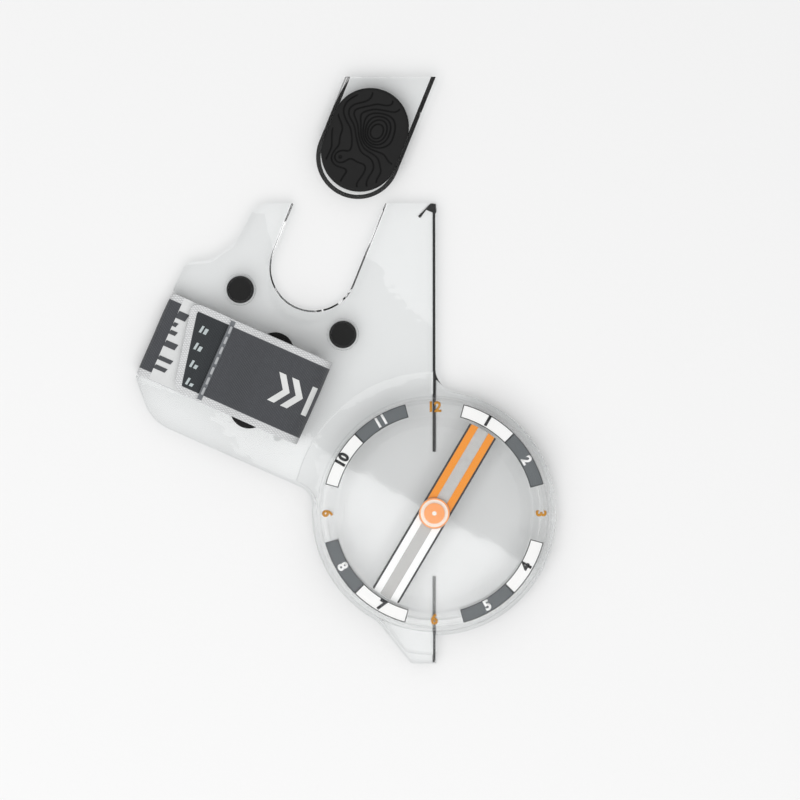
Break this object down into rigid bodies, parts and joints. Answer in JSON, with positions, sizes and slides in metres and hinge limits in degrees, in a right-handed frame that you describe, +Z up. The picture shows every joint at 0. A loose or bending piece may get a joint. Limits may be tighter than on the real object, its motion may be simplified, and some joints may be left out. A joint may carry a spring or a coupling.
{
  "type": "baseplate compass",
  "caption": "Clear left-hand orienteering thumb compass with turning liquid capsule, wide needle, elastic thumb strap and slide-out rubber clip.",
  "frame": {"origin": "capsule axis where it meets the flat underside of the plate", "axes": "+Y is the direction of travel, along the sighting line; +Z is up to the reader; +X is to the reader's right"},
  "size_m": [0.086, 0.12, 0.0097],
  "materials": {
    "clear_plate": "clear moulded acrylic",
    "clear_capsule": "clear moulded polycarbonate",
    "clear_film": "thin clear strip",
    "black_paint": "paint in a groove",
    "grey_paint": "paint in a groove",
    "black_rubber": "moulded rubber",
    "webbing": "woven elastic webbing, dark centre with pale borders",
    "hook_and_loop": "hook and loop tape",
    "thread": "polyester thread",
    "white_ink": "printed ink",
    "dark_ink": "printed ink",
    "orange_ink": "printed ink",
    "orange_plastic": "moulded",
    "white_plastic": "moulded",
    "steel": "ground",
    "magnet_nickel": "nickel plated",
    "jewel": "polished synthetic sapphire",
    "washer_film": "low friction film"
  },
  "bodies": {
    "plate": {"base_plate": "clear_plate", "travel_line": "black_paint", "heel_line": "grey_paint", "rubber_studs": "black_rubber", "thumb_grip": "black_rubber", "strap_over_band": "webbing", "strap_base_band": "webbing", "strap_end_tab": "webbing", "hook_patch": "hook_and_loop", "loop_patch": "hook_and_loop", "seam_stitching": "thread", "glide_washer": "washer_film", "snap_ring": "clear_capsule"},
    "clip": {"clip_tongue": "clear_plate", "clip_pad": "black_rubber"},
    "capsule": {"capsule_cup": "clear_capsule", "capsule_lid": "clear_capsule", "bezel_ring": "clear_capsule", "light_segments": "white_ink", "dark_segments": "dark_ink", "filler_plug": "clear_capsule", "pivot_pin": "steel"},
    "needle": {"needle_blade": "clear_film", "north_marking": "orange_ink", "south_marking": "white_ink", "needle_edge_lines": "dark_ink", "needle_hub": "orange_plastic", "hub_washer": "white_plastic", "hub_cap": "orange_plastic", "jewel_bearing": "jewel", "needle_magnet": "magnet_nickel"}
  },
  "joints": [
    {"name": "clip_slide", "type": "slide", "parent": "plate", "child": "clip", "axis": [-0.3746, -0.9272, 0], "range_m": [0, 0.0279]},
    {"name": "capsule_turn", "type": "hinge", "parent": "plate", "child": "capsule", "pos_m": [0, 0, 0.004], "axis": [0, 0, 1], "continuous": true},
    {"name": "needle_spin", "type": "hinge", "parent": "capsule", "child": "needle", "pos_m": [0, 0, 0.0048], "axis": [0, 0, 1], "continuous": true}
  ]
}
